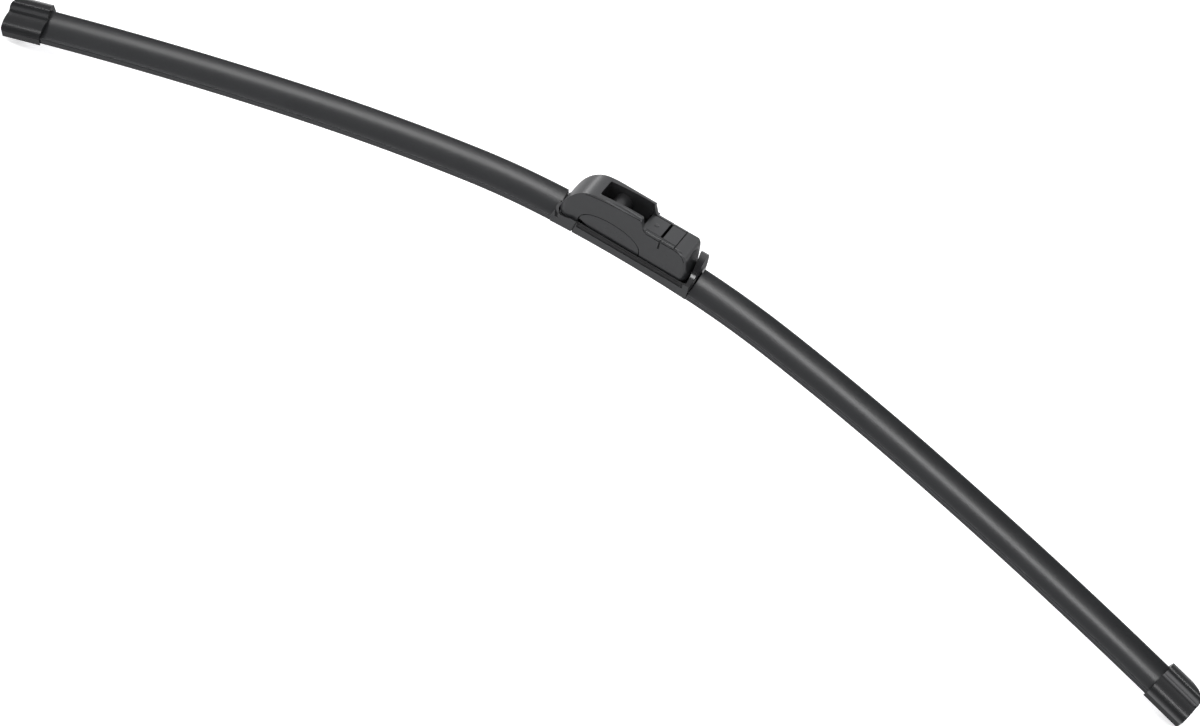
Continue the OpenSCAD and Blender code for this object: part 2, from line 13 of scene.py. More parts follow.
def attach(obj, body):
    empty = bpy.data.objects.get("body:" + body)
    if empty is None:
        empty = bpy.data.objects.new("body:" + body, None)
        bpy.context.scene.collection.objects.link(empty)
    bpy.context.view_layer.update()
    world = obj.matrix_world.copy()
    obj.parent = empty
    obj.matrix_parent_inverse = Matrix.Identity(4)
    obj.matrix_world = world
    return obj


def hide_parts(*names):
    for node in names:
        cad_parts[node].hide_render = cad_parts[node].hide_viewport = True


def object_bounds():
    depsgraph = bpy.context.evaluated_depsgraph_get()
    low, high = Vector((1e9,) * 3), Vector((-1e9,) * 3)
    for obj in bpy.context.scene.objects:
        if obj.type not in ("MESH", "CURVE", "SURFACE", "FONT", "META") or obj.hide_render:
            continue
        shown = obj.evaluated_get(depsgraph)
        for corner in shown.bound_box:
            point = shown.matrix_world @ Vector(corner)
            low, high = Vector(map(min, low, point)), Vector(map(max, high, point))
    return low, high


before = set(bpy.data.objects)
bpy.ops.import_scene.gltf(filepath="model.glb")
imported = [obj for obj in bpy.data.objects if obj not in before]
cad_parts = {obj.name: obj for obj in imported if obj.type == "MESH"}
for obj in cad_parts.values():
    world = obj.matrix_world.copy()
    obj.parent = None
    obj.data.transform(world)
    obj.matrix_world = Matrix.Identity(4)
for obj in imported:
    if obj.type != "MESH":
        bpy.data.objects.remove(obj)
CAD_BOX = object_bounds()

LOG = logging.getLogger("wiper_blade")
MM = 0.001
# What turns a place off the blade's middle into one in the shared frame, in millimetres
SADDLE = Vector((8.6, 0.0, -19.7))
# Distances in metres under which points are merged, in a new solid and before its rounding
WELD, SOFT_WELD = 1e-6, 5e-6
# Distance off the middle plane that lies beyond every flank, in millimetres
BEYOND = 12
# Place and height of the spoilers' ridge
RIDGE = (5.0, 7.9)
# Power of the spoilers' hollow slope, which the tray's end wall follows
SLOPE_POWER = 1.65
Piece = bpy.types.Object
Pair = tuple[float, float]
Triple = tuple[float, float, float]
Values = dict[str, float | tuple[float, ...]]


def spot(x: float, y: float, z: float) -> Vector:
    """Give a place in metres from millimetres off the blade's middle.

    Args:
        x: Distance along the blade.
        y: Distance across it, away from the slope.
        z: Height above the plane of the rails.

    Returns:
        The place in the shared frame, whose origin is the saddle's axis.
    """
    return (Vector((x, y, z)) + SADDLE) * MM


def bow(a: Pair, b: Pair, c: Pair, n: int) -> list[Pair]:
    """Draw a curve from a to c that leaves and arrives along the lines to b.

    Args:
        a: Start.
        b: Corner that the curve rounds off.
        c: End.
        n: Number of steps.

    Returns:
        The n + 1 points of the curve.
    """
    out = []
    for i in range(n + 1):
        t = i / n
        u, v, w = (1 - t) ** 2, 2 * t * (1 - t), t * t
        out.append((u * a[0] + v * b[0] + w * c[0], u * a[1] + v * b[1] + w * c[1]))
    return out


def eased(points: Sequence[Pair], radius: float, n: int = 3) -> list[Pair]:
    """Round off the sharp corners of a closed outline.

    Args:
        points: Corners of the outline.
        radius: Length taken from each side of a corner, in millimetres.
        n: Steps in each rounded corner.

    Returns:
        The outline with its sharp corners rounded.
    """
    out: list[Pair] = []
    count = len(points)
    for i, p in enumerate(points):
        a, c = Vector(points[i - 1]), Vector(points[(i + 1) % count])
        b = Vector(p)
        first, second = a - b, c - b
        if first.length < 1e-6 or second.length < 1e-6:
            continue
        turn = math.pi - first.angle(second)
        if turn < math.radians(25):
            out.append(p)
            continue
        r0 = min(radius, first.length * 0.45)
        r1 = min(radius, second.length * 0.45)
        start, end = b + first.normalized() * r0, b + second.normalized() * r1
        out += bow(tuple(start), tuple(b), tuple(end), n)
    return out


def mirrored(points: Sequence[Pair]) -> list[Pair]:
    """Give the points with their first measure turned round, in reverse order."""
    return [(-a, b) for a, b in reversed(points)]


def flipped(points: Sequence[Pair]) -> list[Pair]:
    """Give the points with their second measure turned round, in reverse order."""
    return [(a, -b) for a, b in reversed(points)]


def circle(middle: Pair, radius: float, n: int) -> list[Pair]:
    """Draw a circle with n corners."""
    turns = (i * math.tau / n for i in range(n))
    return [(middle[0] + radius * math.cos(a), middle[1] + radius * math.sin(a)) for a in turns]


def put(node: bpy.types.Node, values: Values) -> bpy.types.Node:
    """Set inputs of a node by their names, and give the node back."""
    for name, value in values.items():
        node.inputs[name].default_value = value
    return node


def join(source: bpy.types.Node, out: str, target: bpy.types.Node, into: str | int) -> None:
    """Link an output of one node to an input of another."""
    source.id_data.links.new(source.outputs[out], target.inputs[into])


class Side(Enum):
    """The way in which an outline is drawn."""

    FLANK = "outline of x and z, seen along the blade's width"
    TOP = "outline of x and y, seen from above"
    END = "outline of y and z, seen along the blade"


class Grain(Enum):
    """Surface texture of a finish."""

    MOULDED = "fine spark grain of a moulded shell"
    EXTRUDED = "faint lines along an extruded strip"
    PEEL = "soft waves of paint or polish"
    BRUSHED = "drawn lines of rolled steel"


@dataclass(frozen=True)
class Finish:
    """A finish, built as a node material on object coordinates.

    Depth and size are those of the grain, in millimetres, and spread is how far the tone varies.
    """

    name: str
    slot: str
    colour: Triple
    roughness: float
    grain: Grain
    depth: float = 0.01
    size: float = 0.25
    metallic: float = 0.0
    coat: float = 0.0
    specular: float = 0.5
    spread: float = 0.12

    def stretch(self) -> Triple:
        """Give the scale of the grain along each axis, per metre."""
        fine = 1.0 / (self.size * MM)
        if self.grain in (Grain.EXTRUDED, Grain.BRUSHED):
            return (fine / 60, fine, fine)
        return (fine, fine, fine)

    def material(self) -> bpy.types.Material:
        """Build the finish, or give it if it is there already.

        Returns:
            The node material.
        """
        made = bpy.data.materials.get(self.name)
        if made is not None:
            return made
        made = bpy.data.materials.new(self.name)
        made.use_nodes = True
        made.diffuse_color = (*self.colour, 1.0)
        tree = made.node_tree
        new = tree.nodes.new
        shader = put(tree.nodes["Principled BSDF"], {
            "Metallic": self.metallic, "Coat Weight": self.coat, "Coat Roughness": 0.08,
            "Specular IOR Level": self.specular,
        })
        coords = new("ShaderNodeTexCoord")
        fine_place = put(new("ShaderNodeMapping"), {"Scale": self.stretch()})
        join(coords, "Object", fine_place, "Vector")
        fine = put(new("ShaderNodeTexNoise"), {"Scale": 1.0, "Detail": 3.0, "Roughness": 0.6})
        join(fine_place, "Vector", fine, "Vector")
        broad_place = put(new("ShaderNodeMapping"), {"Scale": (60.0, 110.0, 110.0)})
        join(coords, "Object", broad_place, "Vector")
        broad = put(new("ShaderNodeTexNoise"), {"Scale": 1.0, "Detail": 4.0})
        join(broad_place, "Vector", broad, "Vector")
        both = new("ShaderNodeMix")
        both.data_type = "FLOAT"
        put(both, {"Factor": 0.45})
        join(broad, "Fac", both, "A")
        join(fine, "Fac", both, "B")
        tone = new("ShaderNodeValToRGB")
        shades = ((0.3, 1 - self.spread), (0.7, 1 + self.spread))
        for stop, (place, share) in zip(tone.color_ramp.elements, shades):
            stop.position = place
            stop.color = (*(c * share for c in self.colour), 1.0)
        join(both, "Result", tone, "Fac")
        join(tone, "Color", shader, "Base Color")
        rough = put(new("ShaderNodeMapRange"), {
            "From Min": 0.25, "From Max": 0.75, "To Min": self.roughness * 0.9,
            "To Max": min(1.0, self.roughness * 1.1),
        })
        join(both, "Result", rough, "Value")
        join(rough, "Result", shader, "Roughness")
        bump = put(new("ShaderNodeBump"), {"Strength": 0.5, "Distance": self.depth * MM})
        join(fine, "Fac", bump, "Height")
        join(bump, "Normal", shader, "Normal")
        return made


SHELL = Finish("satin_shell", "shell", (0.0185, 0.0193, 0.0205), 0.29, Grain.MOULDED, 0.010, 0.22,
               specular=0.6)
CAP = Finish("satin_cap", "shell", (0.0125, 0.013, 0.0138), 0.24, Grain.MOULDED, 0.008, 0.22)
STRIP = Finish("satin_strip", "spoiler", (0.0175, 0.0182, 0.0193), 0.22, Grain.EXTRUDED, 0.005, 0.5)
# Painted shade: its own tone for the inside faces of the adapter's hollow and the clip in it, set
# to how dark the shaded window looks rather than to the plastic's colour
HOLLOW_SHADE = Finish("painted_hollow_shade", "tray", (0.022, 0.022, 0.023), 0.34, Grain.MOULDED, 0.006, 0.25)
# Painted shade: a darker copy of the tray's black for the band above the ledges, the high end
# wall's outer face and the seam grooves
LEDGE_SHADE = Finish("painted_ledge_shade", "tray", (0.0095, 0.0095, 0.010), 0.45, Grain.MOULDED, 0.006, 0.25,
               specular=0.3)
POLISH = Finish("black_polish", "tray", (0.012, 0.012, 0.013), 0.14, Grain.PEEL, 0.004, 1.6,
                coat=0.4)
GRAPHITE = Finish("graphite_rubber", "lip", (0.020, 0.020, 0.021), 0.72, Grain.EXTRUDED, 0.010, 0.3)
STEEL = Finish("spring_steel", "steel", (0.52, 0.53, 0.55), 0.28, Grain.BRUSHED, 0.003, 0.12,
               metallic=1.0)
PAINT = Finish("black_paint", "bridge", (0.018, 0.018, 0.020), 0.34, Grain.PEEL, 0.010, 0.9)


class Bench:
    """The modelling steps that all makers of pieces share, done with Blender's own tools."""

    def clear(self) -> None:
        """Leave edit mode and deselect everything."""
        if bpy.context.object is not None and bpy.context.object.mode != "OBJECT":
            bpy.ops.object.mode_set(mode="OBJECT")
        bpy.ops.object.select_all(action="DESELECT")

    def take(self, piece: Piece) -> None:
        """Select one piece alone and make it active."""
        self.clear()
        piece.select_set(True)
        bpy.context.view_layer.objects.active = piece

    def edit(self, piece: Piece) -> None:
        """Open a piece for editing, with all of it selected."""
        self.take(piece)
        bpy.ops.object.mode_set(mode="EDIT")
        bpy.ops.mesh.select_all(action="SELECT")

    def modify(self, piece: Piece, kind: str, **settings: object) -> None:
        """Add a modifier with its settings to the active piece, and apply it."""
        step = piece.modifiers.new("step", kind)
        for name, value in settings.items():
            setattr(step, name, value)
        bpy.ops.object.modifier_apply(modifier=step.name)

    def outline(self, name: str, points: Sequence[Vector]) -> Piece:
        """Draw a closed outline by extruding a point from corner to corner, and fill it.

        Args:
            name: Name of the new piece.
            points: Corners of the outline, in metres.

        Returns:
            The new piece, a single face.
        """
        self.clear()
        bpy.ops.mesh.primitive_plane_add(size=MM, location=points[0])
        piece = bpy.context.active_object
        piece.name = piece.data.name = name
        bpy.ops.object.transform_apply(location=True, rotation=True, scale=True)
        self.edit(piece)
        bpy.ops.mesh.select_mode(type="VERT")
        bpy.ops.mesh.merge(type="CENTER")
        for a, b in zip(points, points[1:]):
            bpy.ops.mesh.extrude_region_move(TRANSFORM_OT_translate={"value": b - a})
        bpy.ops.mesh.select_all(action="SELECT")
        bpy.ops.mesh.edge_face_add()
        bpy.ops.object.mode_set(mode="OBJECT")
        return piece

    def prism(self, name: str, points: Sequence[Pair], side: Side, near: float,
              far: float) -> Piece:
        """Draw an outline and extrude it straight.

        Args:
            name: Name of the new piece.
            points: Outline in millimetres off the blade's middle.
            side: The way in which the outline is drawn.
            near: Where the prism starts, across the outline.
            far: Where it ends.

        Returns:
            The new solid, with its faces pointing out.
        """
        lay: dict[Side, Callable[[float, float, float], Vector]] = {
            Side.FLANK: lambda a, b, d: spot(a, d, b),
            Side.TOP: lambda a, b, d: spot(a, b, d),
            Side.END: lambda a, b, d: spot(d, a, b),
        }
        piece = self.outline(name, [lay[side](a, b, near) for a, b in points])
        self.edit(piece)
        push = lay[side](0, 0, far) - lay[side](0, 0, near)
        bpy.ops.mesh.extrude_region_move(TRANSFORM_OT_translate={"value": push})
        self.outward()
        return piece

    def flank_tool(self, name: str, points: Sequence[Pair], side: int, start: float) -> Piece:
        """Extrude a flank's outline outwards on one side, to beyond the flank.

        Args:
            name: Name of the new piece.
            points: Outline of x and z, in millimetres.
            side: 1 behind the middle plane, -1 in front of it.
            start: Distance off the middle plane at which the tool starts.

        Returns:
            The new solid.
        """
        near, far = sorted((side * start, side * BEYOND))
        return self.prism(name, points, Side.FLANK, near, far)

    def block(self, name: str, low: Sequence[float], high: Sequence[float]) -> Piece:
        """Make a rectangular solid, as a tool for a cut or a start for a piece."""
        corners = [(low[0], low[1]), (high[0], low[1]), (high[0], high[1]), (low[0], high[1])]
        return self.prism(name, corners, Side.TOP, low[2], high[2])

    def outward(self) -> None:
        """Turn all faces of the piece in edit mode outwards, and leave edit mode."""
        bpy.ops.mesh.select_all(action="SELECT")
        bpy.ops.mesh.remove_doubles(threshold=WELD)
        bpy.ops.mesh.normals_make_consistent(inside=False)
        bpy.ops.object.mode_set(mode="OBJECT")

    def combine(self, piece: Piece, tool: Piece, how: str) -> None:
        """Apply one solid to another, and throw the tool away.

        Args:
            piece: The solid that is kept.
            tool: The solid that is used up.
            how: DIFFERENCE, UNION or INTERSECT.
        """
        self.take(piece)
        self.modify(piece, "BOOLEAN", operation=how, solver="EXACT", object=tool)
        bpy.data.objects.remove(tool)

    def cut(self, piece: Piece, tools: Iterable[Piece]) -> None:
        """Cut each tool from the piece."""
        for tool in tools:
            self.combine(piece, tool, "DIFFERENCE")

    def soften(self, piece: Piece, width: float, steps: int = 2, angle: float = 32.0) -> None:
        """Round the sharp edges of a piece and shade it smooth.

        Args:
            piece: The piece to finish.
            width: Width of the rounding in millimetres.
            steps: Segments in each rounding.
            angle: Least angle between faces, in degrees, that counts as an edge.
        """
        self.edit(piece)
        bpy.ops.mesh.remove_doubles(threshold=SOFT_WELD)
        bpy.ops.mesh.dissolve_degenerate(threshold=WELD)
        bpy.ops.mesh.delete_loose()
        bpy.ops.mesh.select_all(action="SELECT")
        bpy.ops.mesh.normals_make_consistent(inside=False)
        bpy.ops.object.mode_set(mode="OBJECT")
        self.modify(piece, "BEVEL", width=width * MM, segments=steps, limit_method="ANGLE",
                    angle_limit=math.radians(angle), use_clamp_overlap=True)
        self.smooth(piece, angle)

    def smooth(self, piece: Piece, angle: float) -> None:
        """Shade a piece smooth across every edge flatter than the angle."""
        self.take(piece)
        bpy.ops.object.shade_smooth_by_angle(angle=math.radians(angle))
        self.modify(piece, "TRIANGULATE", min_vertices=5, ngon_method="BEAUTY")
        self.modify(piece, "WEIGHTED_NORMAL", keep_sharp=True)

    def paint(self, piece: Piece, finish: Finish,
              where: Callable[[bpy.types.MeshPolygon], bool] | None = None) -> None:
        """Give a piece, or the faces that a test picks, a finish.

        Args:
            piece: The piece to dress.
            finish: The finish to put on.
            where: Test that picks the faces; all of them if it is left out.
        """
        if where is None:
            piece.data.materials.clear()
            piece.data.materials.append(finish.material())
            return
        piece.data.materials.append(finish.material())
        place = len(piece.data.materials) - 1
        for face in piece.data.polygons:
            if where(face):
                face.material_index = place

    def settle(self, piece: Piece, body: str, finish: Finish, stands_for: Sequence[str]) -> None:
        """Set a piece on its body in place of its CAD nodes, painted if need be, and report it."""
        if not piece.data.materials:
            self.paint(piece, finish)
        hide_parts(*stands_for)
        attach(piece, body)
        LOG.info("%s: %d faces on %s", piece.name, len(piece.data.polygons), body)

    def dress(self, node: str, finish: Finish) -> None:
        """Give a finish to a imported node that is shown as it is."""
        self.paint(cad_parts[node], finish)
        LOG.info("%s dressed", node)


@dataclass(frozen=True)
class BladeCurve:
    """The chain of tangent arcs along which the blade runs, in millimetres."""

    lengths: tuple[float, ...] = (35.0, 45.0, 80.0, 165.0)
    radii: tuple[float, ...] = (500.0, 315.0, 955.0, 1820.0)

    @property
    def half(self) -> float:
        """Length of half the blade."""
        return sum(self.lengths)

    def joint(self, i: int) -> Pair:
        """Give the distance and the turn at the start of arc i."""
        along = sum(self.lengths[:i])
        turn = sum(n / r for n, r in zip(self.lengths[:i], self.radii[:i]))
        return along, turn

    def centre(self, i: int) -> Pair:
        """Give the centre of arc i on the right half, as x and z."""
        x, z = 0.0, -self.radii[0]
        for k in range(1, i + 1):
            _, turn = self.joint(k)
            step = self.radii[k - 1] - self.radii[k]
            x, z = x + step * math.sin(turn), z + step * math.cos(turn)
        return x, z

    def arc_at(self, s: float) -> int:
        """Give the number of the arc that holds distance s."""
        total = 0.0
        for i, length in enumerate(self.lengths):
            total += length
            if abs(s) < total - 1e-9:
                return i
        return len(self.lengths) - 1

    def lean(self, s: float) -> float:
        """Give the turn of the blade at distance s, in radians, positive to the right."""
        i = self.arc_at(s)
        along, turn = self.joint(i)
        return math.copysign(turn + (abs(s) - along) / self.radii[i], s)

    def place(self, s: float, y: float, h: float) -> Vector:
        """Give the place at distance s, y across and h above the rails' plane."""
        i = self.arc_at(s)
        x, z = self.centre(i)
        turn = self.lean(s)
        r = self.radii[i] + h
        return spot(math.copysign(1.0, s) * x + r * math.sin(turn), y, z + r * math.cos(turn))

    def arcs(self, start: float, end: float) -> list[tuple[Vector, float, float]]:
        """Split a run of the blade into arcs.

        Args:
            start: Distance at which the run starts, negative on the left.
            end: Distance at which it ends, beyond the start.

        Returns:
            The centre, the angle and the length of each arc in order.
        """
        marks = {start, end}
        for i in range(1, len(self.lengths)):
            along, _ = self.joint(i)
            marks |= {m for m in (-along, along) if start < m < end}
        stops = sorted(marks)
        out = []
        for a, b in zip(stops, stops[1:]):
            i = self.arc_at((a + b) / 2)
            x, z = self.centre(i)
            centre = spot(math.copysign(1.0, a + b) * x, 0, z)
            out.append((centre, (b - a) / self.radii[i], b - a))
        return out

    def sweep(self, bench: Bench, name: str, section: Sequence[Pair], start: float,
              end: float, pitch: float = 4.0) -> Piece:
        """Spin a section along the blade.

        Args:
            bench: The modelling steps.
            name: Name of the new piece.
            section: Outline of y and height, in millimetres.
            start: Distance at which the sweep starts.
            end: Distance at which it ends.
            pitch: Length of one step along the blade.

        Returns:
            The new solid, with its faces pointing out.
        """
        piece = bench.outline(name, [self.place(start, y, h) for y, h in section])
        bench.edit(piece)
        for centre, angle, length in self.arcs(start, end):
            steps = max(1, round(length / pitch))
            bpy.ops.mesh.spin(steps=steps, angle=angle, center=centre, axis=(0.0, -1.0, 0.0))
        bench.outward()
        return piece


@dataclass
class Strip(Bench):
    """The wiping rubber with its two spring rails and the end clips.

    Sizes are half widths and heights above the rails' plane, in millimetres.
    """

    curve: BladeCurve
    back: float = 3.0
    head: Pair = (2.7, 1.4)
    slot: float = 0.6
    web: float = 0.8
    shoulder: float = -1.9
    neck: Pair = (0.45, -2.7)
    wedge: tuple[float, Pair] = (2.1, (1.9, -3.4))
    lip: Pair = (0.35, -7.2)

    def section(self) -> list[Pair]:
        """Draw the rubber's section, with soft corners."""
        wide, slot, web, shoulder = self.head[0], self.slot, self.web, self.shoulder
        right = [self.head, (wide, slot), (web, slot), (web, -slot), (wide, -slot),
                 (wide, shoulder), (self.neck[0], shoulder), self.neck,
                 (self.wedge[0], self.neck[1]), self.wedge[1]]
        right += bow((1.55, -3.9), (0.42, -4.6), (self.lip[0], -6.0), 5) + [self.lip]
        return eased(right + mirrored(right), 0.12, 2)

    def build(self) -> None:
        """Make the rubber and dress the rails and clips."""
        end = self.curve.half - self.back
        rubber = self.curve.sweep(self, "wiping_strip", self.section(), -end, end)
        self.smooth(rubber, 40)
        self.settle(rubber, "blade", GRAPHITE, ["wiping_rubber"])
        for node in ("front_rail", "rear_rail", "left_end_clip", "right_end_clip"):
            self.dress(node, STEEL)


@dataclass
class Spoilers(Bench):
    """The two spoiler strips, each with a hollow slope and a rounded ridge.

    Foot gives the half width and the height of the foot's upright edge. The left strip has a lip
    that reaches over the tray's low end.
    """

    curve: BladeCurve
    seam: float = 35.6
    lip: float = 0.85
    lip_under: float = 3.25
    into_cap: float = 5.0
    cap_length: float = 21.0
    foot: Pair = (7.9, 1.0)
    under: float = -1.4

    def slope(self, n: int) -> list[Pair]:
        """Draw the hollow slope in n steps."""
        (foot_y, foot_h), (ridge_y, ridge_h) = self.foot, RIDGE
        return [(-foot_y + 0.6 + t * (ridge_y - 0.5 + foot_y - 0.6),
                 foot_h + 0.5 + t ** SLOPE_POWER * (ridge_h - foot_h - 0.83))
                for t in (i / n for i in range(n + 1))]

    def section(self) -> list[Pair]:
        """Draw the section with its round ridge and the channel for the rails."""
        (foot_y, foot_h), (y, h) = self.foot, RIDGE
        top = [(-foot_y, foot_h)] + self.slope(20)
        top += bow((y - 0.25, h - 0.08), (y + 0.45, h + 0.06), (y + 0.52, h - 0.6), 4)
        back = bow((y + 0.55, h - 0.9), (y + 1.3, foot_h + 1.5), (foot_y, foot_h), 10)
        room = [(3.7, self.under), (3.7, -0.6), (5.4, -0.6), (5.4, 0.6), (2.85, 0.6), (2.85, 1.55)]
        base = [(foot_y, self.under), *room, *mirrored(room), (-foot_y, self.under)]
        return eased(top + back + base, 0.2, 3)

    def build(self) -> None:
        """Make both strips."""
        end = self.curve.half - self.cap_length + self.into_cap
        for name, node, a, b in (("spoiler_strip_left", "left_spoiler", -end, -self.seam),
                                 ("spoiler_strip_right", "right_spoiler", self.seam, end)):
            lip = self.lip if b < 0 else 0.0
            strip = self.curve.sweep(self, name, self.section(), a, b + lip)
            if lip:
                under = self.block("under_lip", (b, -9, -10), (b + 2, 9, self.lip_under))
                self.cut(strip, [under])
            self.smooth(strip, 40)
            self.settle(strip, "blade", STRIP, [node])


@dataclass
class EndCaps(Bench):
    """The moulded end caps, with a bulging flank, a crease and a slanting end.

    Foot and ridge give a place across the blade and a height. Each pocket is given by its start
    and stop before the tip, its half width and its top.
    """

    curve: BladeCurve
    length: float = 21.0
    slant: float = 14.0
    near_round: float = 1.6
    under: float = -2.0
    foot: Pair = (8.6, 1.0)
    ridge: Pair = (6.2, 10.3)
    pitch: float = 1.5
    into_cap: float = 5.3
    pockets: tuple[tuple[float, float, float, float], ...] = (
        (16.0, 10.1, 6.15, 2.3), (14.6, 8.6, 5.4, 0.62), (13.3, 2.6, 2.85, 1.55))

    def section(self) -> list[Pair]:
        """Draw the cap's outer section."""
        (foot_y, foot_h), (y, h) = self.foot, self.ridge
        out = [(-foot_y, self.under), (-foot_y, foot_h)]
        out += bow((-foot_y, foot_h), (-5.9, 5.2), (0.2, 5.6), 14)[1:]
        out += bow((1.0, 6.35), (2.2, h - 0.6), (y - 1.2, h - 0.05), 10)
        out += bow((y - 0.6, h), (y + 0.8, h + 0.02), (y + 1.0, h - 1.0), 4)
        out += bow((y + 1.02, h - 1.3), (y + 1.8, 4.0), (foot_y, 1.6), 8)
        return out + [(foot_y, self.under)]

    def end_tool(self) -> Piece:
        """Make the tool that rounds both corners of the right cap's end."""
        near, far, bend = -self.foot[0] - 0.1, self.foot[0] + 1, self.near_round
        points = [(BEYOND, near - 1), (-bend, near - 1)]
        points += bow((-bend, near), (0.1, near), (0.1, near + bend), 10)
        points += [(1.0, near + bend), (1.0, 0.5)]
        points += bow((0.1, 0.5), (-0.6, self.ridge[0]), (-self.slant, self.ridge[0] + 1.2), 28)
        points += [(-self.slant - 2, far), (BEYOND, far)]
        tool = self.prism("end_tool", points, Side.TOP, -30, 30)
        end = self.curve.half
        turn = Matrix.Rotation(self.curve.lean(end), 4, "Y")
        turn = Matrix.Translation(self.curve.place(end, 0, 0)) @ turn
        tool.data.transform(turn @ Matrix.Translation(-spot(0, 0, 0)))
        return tool

    def mirror(self, piece: Piece) -> None:
        """Mirror a piece about the blade's middle and turn its faces out again."""
        middle = spot(0, 0, 0)
        flip = Matrix.Translation(middle) @ Matrix.Scale(-1, 4, (1, 0, 0))
        piece.data.transform(flip @ Matrix.Translation(-middle))
        self.edit(piece)
        self.outward()

    def cap(self, name: str, left: bool) -> Piece:
        """Make one cap, on the right, and mirror it if it is the left one.

        Args:
            name: Name of the piece.
            left: Whether it is the left cap.

        Returns:
            The finished cap.
        """
        end = self.curve.half
        start = end - self.length
        body = self.curve.sweep(self, name, self.section(), start, end, self.pitch)
        room = [(y * 1.02, h + 0.15 if h > 0 else h - 0.8)
                for y, h in Spoilers(self.curve).section() if abs(y) > 5.6 or h > 1.6]
        runs = [("room", room, start - 1, start + self.into_cap)]
        for first, last, y, top in self.pockets:
            low = -3.0 - 0.1 * y
            pocket = [(-y, low), (y, low), (y, top), (-y, top)]
            runs.append(("pocket", pocket, end - first, end - last))
        tools = [self.curve.sweep(self, *run, self.pitch) for run in runs]
        self.cut(body, tools + [self.end_tool()])
        if left:
            self.mirror(body)
        self.soften(body, 0.35, 3, 28)
        return body

    def build(self) -> None:
        """Make both caps."""
        for name, node in (("cap_left", "left_end_cap"), ("cap_right", "right_end_cap")):
            cap = self.cap(name, name == "cap_left")
            self.settle(cap, "blade", CAP, [node])


